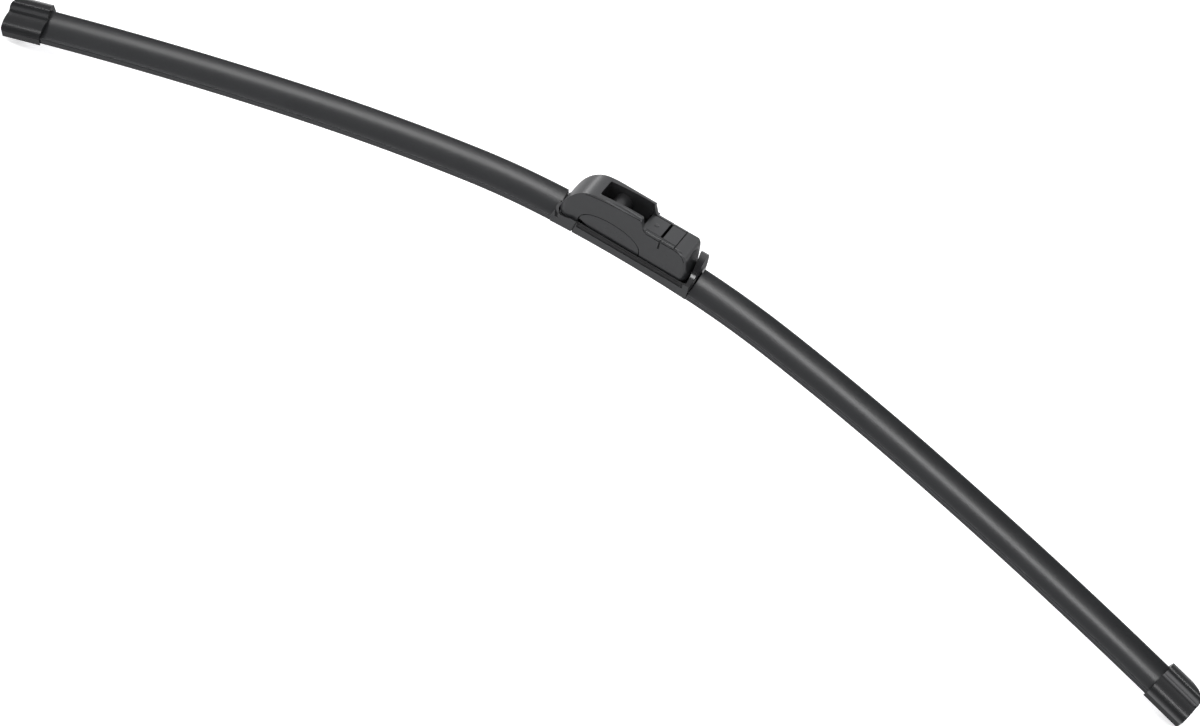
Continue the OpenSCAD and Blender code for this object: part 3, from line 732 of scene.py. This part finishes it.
@dataclass
class ConnectorBase(Bench):
    """The tray round the connector, and the steel bridge with its rivet inside it.

    Sizes are in millimetres, heights above the rails' plane. Each ledge is given by its height and
    by the half width left above it.
    """

    curve: BladeCurve
    half_width: float = 8.1
    half_length: float = 35.4
    depth: float = 1.4
    rim: float = 5.6
    wall: float = 0.8
    floor: float = 1.5
    high: float = 15.4
    nose_rim: float = 3.0
    corner_rim: float = 4.4
    shelf: float = 1.9
    high_t: float = 1.8
    high_top: float = 3.6
    low_t: float = 1.2
    bay_start: float = -24.0
    nose_room: float = 7.05
    well: Pair = (22.3, 6.9)
    seam_depth: float = 0.7
    ledge_run: Pair = (-22.7, 32.4)
    ledges: tuple[Pair, ...] = ((2.75, 7.72), (4.45, 7.55))

    def end_wall(self) -> Piece:
        """Make the high end wall, which follows the spoiler's slope and leans over the deck."""
        n, w, rim, top = self.half_length, self.half_width, self.rim, self.high
        points = [(0.5 - w, 0.6), (0.5 - w, rim - 0.3)]
        points += [(-w + u * (RIDGE[0] + w), rim + u ** SLOPE_POWER * (top - rim))
                   for u in (i / 16 for i in range(17))]
        points += bow((5.6, top), (w, top), (w, rim), 10) + [(w - 0.5, rim - 0.3), (w - 0.5, 0.6)]
        wall = self.prism("wall", points, Side.END, n - self.high_top - 1, n)
        edge = [(n + 1, -1), (n - self.high_t + 0.4, -1), (n - self.high_t + 0.4, rim - 1.2),
                (n - self.high_t, rim - 1), (n - self.high_top, top), (n - self.high_top, top + 1),
                (n + 1, top + 1)]
        edge_tool = self.prism("edge", edge, Side.FLANK, -BEYOND, BEYOND)
        self.combine(wall, edge_tool, "INTERSECT")
        return wall

    def corner(self, x: float, y: float) -> list[Pair]:
        """Draw one rounded corner at the nose, from the side wall to the end wall."""
        return bow((-30, -y), (x, -y), (x, -3.3), 16)

    def nose_end(self) -> list[Piece]:
        """Make the tools that lower the rim round the nose and round its corners.

        Returns:
            The tools, in the order in which they cut.
        """
        n, w, low, high = self.half_length, self.half_width, self.nose_rim, self.corner_rim
        fall = bow((-25, self.rim + 0.5), (-28.5, high), (-31.5, high), 12)
        fall += [(-n - 1, high), (-n - 1, self.rim + 1)]
        back = [(-3.3, high + 0.05)] + bow((-1.5, high), (0, low), (3, low), 8)
        back += [(12, low), (12, 12), (-3.3, 12)]
        tools = [self.prism("fall", fall, Side.FLANK, -BEYOND, BEYOND),
                 self.prism("back", back, Side.END, -n - 1, -29)]
        edge = [(-n - 1, -w - 1), (-30, -w - 1)] + self.corner(-n - 0.1, w + 0.1) + [(-n - 1, -3.3)]
        for side in (-1, 1):
            outline = [(x, -side * y) for x, y in edge]
            tools.append(self.prism("corner", outline, Side.TOP, self.shelf, 40))
        return tools

    def seam(self, side: int) -> Piece:
        """Make the tool for the thin slanting seam on one side of the tray."""
        line = [(-25.1, -5), (-24.6, -5), (-22.65, 7), (-23.15, 7)]
        return self.flank_tool("seam", line, side, self.half_width - self.seam_depth)

    def body(self) -> Piece:
        """Make the tray's block, whose underside follows the blade's first arc."""
        n, radius = self.half_length, self.curve.radii[0]
        arc = radius - self.depth
        low = [(x, math.sqrt(arc * arc - x * x) - radius)
               for x in (-n + i * 2 * n / 24 for i in range(25))]
        side = low + [(n, self.rim), (-n, self.rim)]
        return self.prism("base_shell", side, Side.FLANK, -self.half_width, self.half_width)

    def bay(self) -> list[Pair]:
        """Draw the room inside the rim, seen from above."""
        inner_y, end = self.half_width - self.wall, self.half_length - self.high_t
        inner = [(self.bay_start, -self.half_width + self.wall), (self.bay_start, -self.nose_room)]
        inner += self.corner(-self.half_length + self.low_t, self.nose_room)
        tail = bow((end - 2, inner_y), (end, inner_y), (end, inner_y - 2), 6)
        return inner + flipped(inner) + tail + flipped(tail)

    def is_outside(self, face: bpy.types.MeshPolygon) -> bool:
        """Tell whether a face lies on the tray's flank or looks down."""
        on_flank = abs(face.center.y) > (self.half_width - 0.12) * MM
        return on_flank and abs(face.normal.y) > 0.8 or face.normal.z < -0.5

    def gets_painted_shade(self, face: bpy.types.MeshPolygon) -> bool:
        """Tell whether a face gets painted shade: above a ledge, on the end wall's outside or in a
        seam.
        """
        y, facing = abs(face.center.y), face.normal
        above_ledge = (7.4 * MM < y < 7.9 * MM and abs(facing.y) > 0.8
                       and face.center.y * facing.y > 0)
        on_wall = face.center.z > spot(0, 0, self.rim).z and facing.x > 0.6
        in_seam = (abs(face.center.x - spot(-23.9, 0, 0).x) < 1.3 * MM
                   and y > (self.half_width - 0.75) * MM and abs(facing.x) > 0.5)
        return above_ledge or on_wall or in_seam

    def build(self) -> None:
        """Make the tray and dress the metal parts."""
        tray = self.body()
        right = [(3.7, -0.6), (5.4, -0.6), (5.4, 0.6), (2.85, 0.6), (2.85, 1.4)]
        channel = [(-3.7, -3.0), (3.7, -3.0), *right, *mirrored(right)]
        x, y = self.well
        self.cut(tray, [
            self.prism("bay", self.bay(), Side.TOP, self.floor, 40),
            self.block("well", (-x, -y, -10), (x, y, 40)),
            self.curve.sweep(self, "channel", channel, -36.5, 36.5),
            *self.nose_end(),
            self.seam(-1),
            self.seam(1),
        ])
        self.combine(tray, self.end_wall(), "UNION")
        start, end = self.ledge_run
        self.cut(tray, [
            self.block("ledge", (start, a, z), (end, b, self.rim + 0.3))
            for z, y in self.ledges for a, b in ((-9, -y), (y, 9))
        ])
        self.soften(tray, 0.25, 3)
        self.paint(tray, POLISH)
        self.paint(tray, SHELL, self.is_outside)
        # Painted shade on the band above the ledges, the end wall's outside and the seams
        self.paint(tray, LEDGE_SHADE, self.gets_painted_shade)
        self.settle(tray, "blade", POLISH, ["base_tray"])
        for node, finish in (("bridge_bracket", PAINT), ("pivot_rivet", STEEL),
                             ("pivot_sleeve", STEEL)):
            self.dress(node, finish)


@dataclass
class Adapter(Bench):
    """The hood with the hook window, the clip inside it and the release button.

    Sizes are in millimetres, with the nose on the left. Window gives both ends and the width,
    button length, width and thickness, slit lower end and width, shoulder the flat top's half
    width and the drop, arch_seam width and depth, saddle centre and radius.
    """

    half_width: float = 7.0
    wall: float = 1.3
    skirt: float = 5.2
    nose: float = 33.9
    nose_skirt: float = 4.6
    notch: float = -23.3
    tail: float = 32.0
    lean: float = 2.2
    deck: float = 22.0
    crown: float = 28.2
    fall: float = 1.7
    window: Triple = (-17.2, 5.6, 9.6)
    floor: float = 16.5
    button: Triple = (9.2, 9.4, 1.3)
    slot: float = 1.3
    gap: float = 0.25
    groove: float = 23.0
    groove_size: Pair = (0.6, 1.1)
    deck_t: float = 1.6
    slit: Pair = (16.4, 0.8)
    shoulder: Pair = (5.3, 1.3)
    panel_x: float = 16.0
    panel_mid: float = 7.5
    panel_foot: float = 6.0
    panel_rise: float = 9.4
    panel_set: float = 0.26
    arch_seam: Pair = (0.5, 1.0)
    flank_set: float = 0.12
    crease: float = 0.45
    saddle: Triple = (-8.6, 19.7, 4.2)
    pivot: float = 11.0

    @property
    def button_start(self) -> float:
        """Where the button's plate starts."""
        return self.window[1] + self.gap

    @property
    def slot_end(self) -> float:
        """Where the slot beyond the button ends."""
        return self.button_start + self.button[0] + self.slot

    def tall_flank(self) -> list[Pair]:
        """Draw the flank of the tall part."""
        top = self.crown - self.fall
        x0, x1 = self.window[0], self.window[1]
        out = [(x1 + 3, self.skirt), (self.notch + 0.3, self.skirt),
               (self.notch - 0.3, self.nose_skirt), (-self.nose, self.nose_skirt)]
        out += bow((-self.nose, self.nose_skirt + 1), (-self.nose + 4.6, top - 1.2),
                   (x0, top + 0.1), 28)
        out += bow((x0 + 4, top + 0.6), (-4, self.crown + 0.1), (x1 - 1.4, self.crown), 10)
        return out + bow((x1 - 0.3, self.crown - 0.4), (x1 + 0.6, self.deck + 0.6),
                         (x1 + 2.6, self.deck), 10)

    def low_flank(self) -> list[Pair]:
        """Draw the flank of the low part with the blunt end."""
        out = [(-self.nose / 2, self.skirt), (-self.nose / 2, self.deck)]
        out += bow((self.groove + 1, self.deck), (self.tail - self.lean + 0.3, self.deck),
                   (self.tail - self.lean + 0.6, self.deck - 5), 14)
        return out + [(self.tail, self.skirt)]

    def plan(self, m: float) -> list[Pair]:
        """Draw the outline from above, grown inwards by m."""
        y, nose, tail = self.half_width - m, -self.nose + m, self.tail - m
        front = bow((-29, y), (nose, y), (nose, 2.5), 18)
        back = bow((self.tail - 4, -y), (tail, -y), (tail, -self.half_width + 4), 10)
        return front + bow((nose, -2.5), (nose, -y), (-29, -y), 18) + back + flipped(back)

    def shoulders(self, top: float) -> list[Pair]:
        """Draw the outline from the end, with round shoulders under the top."""
        y, (flat, drop) = self.half_width, self.shoulder
        out = [(-y, 0.0)] + bow((-y, top - drop), (-y + 0.65, top - 0.25), (-flat, top + 0.12), 9)
        out += bow((flat, top + 0.12), (y - 0.65, top - 0.25), (y, top - drop), 9)
        return out + [(y, 0.0)]

    def hood(self) -> Piece:
        """Make the outer form from its three outlines."""
        parts = []
        for name, flank, top in (("hood", self.tall_flank(), self.crown),
                                 ("deck", self.low_flank(), self.deck)):
            part = self.prism(name, flank, Side.FLANK, -BEYOND, BEYOND)
            for view, outline, side, near, far in (("plan", self.plan(0), Side.TOP, 1, 60),
                                                   ("end", self.shoulders(top), Side.END, -50, 50)):
                tool = self.prism(view, outline, side, near, far)
                self.combine(part, tool, "INTERSECT")
            parts.append(part)
        self.combine(parts[0], parts[1], "UNION")
        return parts[0]

    def hollow(self, name: str, flank: list[Pair]) -> Piece:
        """Make the tool for a hollow from its flank."""
        tool = self.prism(name, flank, Side.FLANK, -BEYOND, BEYOND)
        inner = self.prism("inner", self.plan(self.wall), Side.TOP, 0, 60)
        self.combine(tool, inner, "INTERSECT")
        return tool

    def panel(self, side: int) -> Piece:
        """Make the tool for the shallow panel and the deeper arched seam round it."""
        width, depth = self.arch_seam
        tool = self.flank_tool("panel", self.arch(0), side, self.half_width - self.panel_set)
        line = self.flank_tool("line", self.arch(0), side, self.half_width - depth)
        self.cut(line, [self.prism("core", self.arch(width), Side.FLANK, -13, 13)])
        self.combine(tool, line, "UNION")
        return tool

    def arch(self, m: float) -> list[Pair]:
        """Draw the arched panel, grown inwards by m."""
        low, half, middle = self.nose_skirt - 1 - m, self.panel_x, self.panel_mid
        out = [(half - middle - m, low)]
        for i in range(33):
            a = math.pi * i / 32
            rise = (self.panel_rise - m) * math.sin(a) ** 0.8
            out.append(((half - m) * math.cos(a) - middle, self.panel_foot + rise))
        return out + [(-half - middle + m, low)]

    def flank(self, side: int) -> Piece:
        """Make the tool that sets the flank back, with a groove along the crease above it."""
        points = [(-36, 3), (-36, 25), (-23.6, 24.2), (-19, 25.1), (-14.9, 25.8), (-5.6, 26.8),
                  (4.6, 27.2)]
        points += bow((4.6, 27.2), (6.3, 26.4), (7.2, 23.2), 5)[1:]
        points += bow((7.3, 22.9), (8.0, 21.3), (9.6, 21.2), 5)
        points += bow((24, 21.2), (28.4, 21.2), (29.6, 17), 8) + [(33, 3)]
        tool = self.flank_tool("flank", points, side, self.half_width - self.flank_set)
        under = [(x, z) for x, z in points if x > -24 and z > 16]
        lower = []
        for (x0, z0), (x, z), (x1, z1) in zip([under[0], *under], under, [*under[1:], under[-1]]):
            run = math.hypot(x1 - x0, z1 - z0)
            lower.append((x + self.crease * (z1 - z0) / run, z - self.crease * (x1 - x0) / run))
        groove = [(x, z + 0.01) for x, z in under] + lower[::-1]
        line = self.flank_tool("line", groove, side, self.half_width - self.crease)
        self.combine(tool, line, "UNION")
        return tool

    def body(self) -> None:
        """Make the adapter's body."""
        block, wall, floor = self.block, self.wall, self.floor
        nose, notch, tail = self.nose, self.notch, self.tail - self.wall
        (x0, x1, width), low, end = self.window, self.deck - self.deck_t, self.slot_end
        body = self.hood()
        nose_in = [(x1, 0), (-nose + wall, 0), (-nose + wall, self.nose_skirt + 1),
                   (-nose + 4.3, floor - 3), (-nose + 8, floor + 2.8), (x0 - wall, floor + 5.8),
                   (x0 - wall, floor), (x1, floor)]
        tail_in = [(x1 - 1, 0), (tail - 0.3, 0), (tail - self.lean + 0.3, self.deck - 6),
                   (self.groove + 1.5, low), (x1 - 1, low)]
        half = width / 2
        mouth = eased([(x0, -half), (x1, -half), (x1, half), (x0, half)], 1.0, 4)
        seat = self.button[1] / 2 + self.gap
        start, (wide, deep) = self.groove, self.groove_size
        gap = [(notch, 4), (notch + 7.5, 4), (notch + 6.2, 5.2), (notch + 1.6, 7.0), (notch, 7.2)]
        self.cut(body, [
            self.hollow("nose_in", nose_in),
            self.hollow("tail_in", tail_in),
            self.prism("mouth", mouth, Side.TOP, floor - 1, 60),
            block("seat", (x1 - 0.5, -seat, low - 1), (end, seat, 60)),
            *(block("slit", (end - self.slit[1] + 0.2, a, self.slit[0]), (end + 0.2, b, 60))
              for a, b in ((-20, -5.9), (5.9, 20))),
            block("groove", (start, -20, self.deck - deep), (start + wide, 20, 60)),
            *(block("line", (end - 0.1, y - 0.14, self.deck - 0.3), (start, y + 0.14, 60))
              for y in (-4.95, 4.95)),
            self.flank(-1),
            self.flank(1),
            self.prism("notch", gap, Side.FLANK, -20, 20),
            self.panel(-1),
            self.panel(1),
        ])
        body.name = body.data.name = "adapter_shell"
        self.soften(body, 0.3, 3, 30)
        self.paint(body, SHELL)
        # Painted shade: faces that look into the hollow get the shaded inside's tone instead of the
        # shell's
        middle = spot(-5, 0, 12)
        self.paint(body, HOLLOW_SHADE, lambda face: face.normal.dot(face.center - middle) < 0)
        self.settle(body, "adapter", SHELL, ["adapter_body"])

    def press(self) -> None:
        """Make the release button with its finger mark and tongue."""
        length, width, t = self.button
        x, top, half = self.button_start, self.deck - 0.1, self.window[2] / 2 - 1
        plate = self.block("release_plate", (x, -width / 2, top - t), (x + length, width / 2, top))
        ring = circle((x + length / 2, 0.0), 1.0, 24)
        mark = self.prism("mark", ring, Side.TOP, top - 0.3, top + 0.22)
        self.combine(plate, mark, "UNION")
        tongue = self.block("tongue", (x, -half, top - 3.9), (x + 1.4, half, top - 0.9))
        self.combine(plate, tongue, "UNION")
        self.soften(plate, 0.15, 2)
        self.settle(plate, "button", SHELL, ["release_button"])

    def clip(self) -> None:
        """Make the clip with the round saddle for the hook."""
        (x, z, r), half = self.saddle, self.window[2] / 2 - 0.1
        low, eye = self.floor - 0.8, (0.0, self.pivot)
        prism, block = self.prism, self.block
        clip = prism("hook_saddle", circle((x, z), r, 72), Side.FLANK, -half, half)
        neck = [(x + 2, low), (x + 2, 11.0), (0, 10.0), (4.2, 12.0), (3.8, low)]
        self.combine(clip, block("web", (x + 2, -half, low), (x + r, half, z)), "UNION")
        for name, outline, y in (("neck", neck, 3.35), ("eye", circle(eye, 5.2, 72), 3.34)):
            self.combine(clip, prism(name, outline, Side.FLANK, -y, y), "UNION")
        for y in (-half, half):
            ring = prism("ring", circle((x, z), 3.3, 60), Side.FLANK, y - 0.35, y + 0.35)
            core = prism("core", circle((x, z), 2.7, 60), Side.FLANK, y - 1, y + 1)
            self.cut(ring, [core])
            self.cut(clip, [ring])
        self.cut(clip, [
            prism("hole", circle(eye, 3.6, 48), Side.FLANK, -BEYOND, BEYOND),
            block("snap", (-3.1, -12, 0), (3.1, 12, 11)),
        ])
        self.soften(clip, 0.2, 2)
        # Painted shade: the clip takes the shaded hollow's tone
        self.settle(clip, "adapter", HOLLOW_SHADE, ["hook_clip"])

    def build(self) -> None:
        """Make the adapter's pieces."""
        self.body()
        self.press()
        self.clip()


@dataclass
class Studio:
    """The camera, the soft lights and the pale floor.

    Angles are in degrees, distance and aim in millimetres, and the lights in metres and watts.
    """

    azimuth: float = 17.9075
    elevation: float = 49.0461
    roll: float = 16.7478
    pixels_per_mm: float = 2.2623
    distance: float = 4854.2
    aim: Pair = (-12.1067, -52.0561)
    image_width: float = 1200.0
    sensor: float = 36.0
    sky_strength: float = 3.6
    sky: tuple[Pair, ...] = ((0.0, 1.0), (0.045, 0.9), (0.10, 0.05), (0.225, 0.02), (0.29, 0.08),
                             (0.36, 0.15), (0.65, 0.14), (0.81, 0.32), (1.0, 0.85))
    floor_size: float = 12.0
    floor_gap: float = 0.0002
    floor_seen: float = 0.95
    floor_thrown: float = 0.64
    floor_glow: float = 0.45

    def axes(self) -> tuple[Vector, Vector, Vector]:
        """Give the camera's right, up and back directions."""
        a, e, r = (math.radians(v) for v in (self.azimuth, self.elevation, self.roll))
        back = Vector((math.sin(a) * math.cos(e), -math.cos(a) * math.cos(e), math.sin(e)))
        right = Vector((math.cos(a), math.sin(a), 0.0))
        up = back.cross(right)
        return right * math.cos(r) + up * math.sin(r), up * math.cos(r) - right * math.sin(r), back

    def camera(self) -> None:
        """Place the camera as in the photograph."""
        right, up, back = self.axes()
        place = right * self.aim[0] + up * self.aim[1] + back * self.distance
        data = bpy.data.cameras.new("camera")
        data.sensor_fit = "HORIZONTAL"
        data.sensor_width = self.sensor
        data.lens = self.pixels_per_mm * self.distance * self.sensor / self.image_width
        data.clip_start, data.clip_end = 0.1, 100.0
        camera = bpy.data.objects.new("camera", data)
        bpy.context.scene.collection.objects.link(camera)
        turn = Matrix((right, up, back)).transposed().to_4x4()
        camera.matrix_world = Matrix.Translation(spot(*place)) @ turn
        bpy.context.scene.camera = camera

    def light(self, name: str, start: Sequence[float], end: Sequence[float], width: float,
              power: float) -> None:
        """Hang a long soft light that faces the blade.

        Args:
            name: Name of the light.
            start: One end of it, in metres.
            end: The other end.
            width: Its width in metres.
            power: Its power in watts.
        """
        data = bpy.data.lights.new(name, "AREA")
        data.shape = "RECTANGLE"
        run = Vector(end) - Vector(start)
        data.size, data.size_y = run.length, width
        data.energy = power
        lamp = bpy.data.objects.new(name, data)
        bpy.context.scene.collection.objects.link(lamp)
        middle = (Vector(start) + Vector(end)) / 2
        along = run.normalized()
        off = middle - Vector((0, 0, -0.05))
        back = (off - along * off.dot(along)).normalized()
        turn = Matrix((along, back.cross(along), back)).transposed().to_4x4()
        lamp.matrix_world = Matrix.Translation(middle) @ turn

    def surroundings(self) -> None:
        """Set the world, whose tone follows the direction from front to back, and both lights."""
        world = bpy.data.worlds.new("studio")
        world.use_nodes = True
        tree = world.node_tree
        new = tree.nodes.new
        back = put(tree.nodes["Background"], {"Strength": self.sky_strength})
        coords = new("ShaderNodeTexCoord")
        split = new("ShaderNodeSeparateXYZ")
        depth = put(new("ShaderNodeMapRange"), {"From Min": -1.0})
        ramp = new("ShaderNodeValToRGB")
        stops = ramp.color_ramp.elements
        for place, _ in self.sky[1:-1]:
            stops.new(place)
        for stop, (_, tone) in zip(stops, self.sky):
            stop.color = (tone, tone, tone * 1.02, 1.0)
        join(coords, "Generated", split, "Vector")
        join(split, "Y", depth, "Value")
        join(depth, "Result", ramp, "Fac")
        join(ramp, "Color", back, "Color")
        bpy.context.scene.world = world
        self.light("side_light", (-2.3, 0.9, 0.32), (-1.5, 1.9, 0.32), 0.5, 6.0)
        self.light("long_light", (1.25, -0.43, 1.2), (-2.30, -0.88, 1.2), 0.17, 15.0)
        bpy.context.scene.view_settings.view_transform = "Standard"

    def floor(self) -> None:
        """Lay the pale floor under the tips of the blade.

        The floor looks white, and throws less light back on the blade than a white sheet would.
        """
        bpy.ops.object.select_all(action="DESELECT")
        place = (0, 0, CAD_BOX[0].z - self.floor_gap)
        bpy.ops.mesh.primitive_plane_add(size=self.floor_size, location=place)
        floor = bpy.context.active_object
        floor.name = "floor"
        plain = bpy.data.materials.new("pale_floor")
        plain.use_nodes = True
        tree = plain.node_tree
        new = tree.nodes.new
        shader = put(tree.nodes["Principled BSDF"],
                     {"Roughness": 0.9, "Emission Color": (1.0, 1.0, 1.0, 1.0)})
        ray = new("ShaderNodeLightPath")
        tone = new("ShaderNodeMix")
        tone.data_type = "RGBA"
        put(tone, {"A": (*(self.floor_thrown,) * 3, 1.0), "B": (*(self.floor_seen,) * 3, 1.0)})
        join(ray, "Is Camera Ray", tone, "Factor")
        join(tone, "Result", shader, "Base Color")
        glow = new("ShaderNodeMath")
        glow.operation = "MULTIPLY"
        glow.inputs[1].default_value = self.floor_glow
        join(ray, "Is Camera Ray", glow, 0)
        join(glow, "Value", shader, "Emission Strength")
        floor.data.materials.append(plain)


def main() -> None:
    """Build the classes in order and report each piece."""
    logging.basicConfig(level=logging.INFO, format="%(name)s %(message)s")
    curve, studio = BladeCurve(), Studio()
    studio.camera()
    for maker in (Strip(curve), Spoilers(curve), EndCaps(curve), ConnectorBase(curve), Adapter()):
        maker.build()
        maker.clear()
    studio.surroundings()
    studio.floor()


if __name__ == "__main__":
    main()
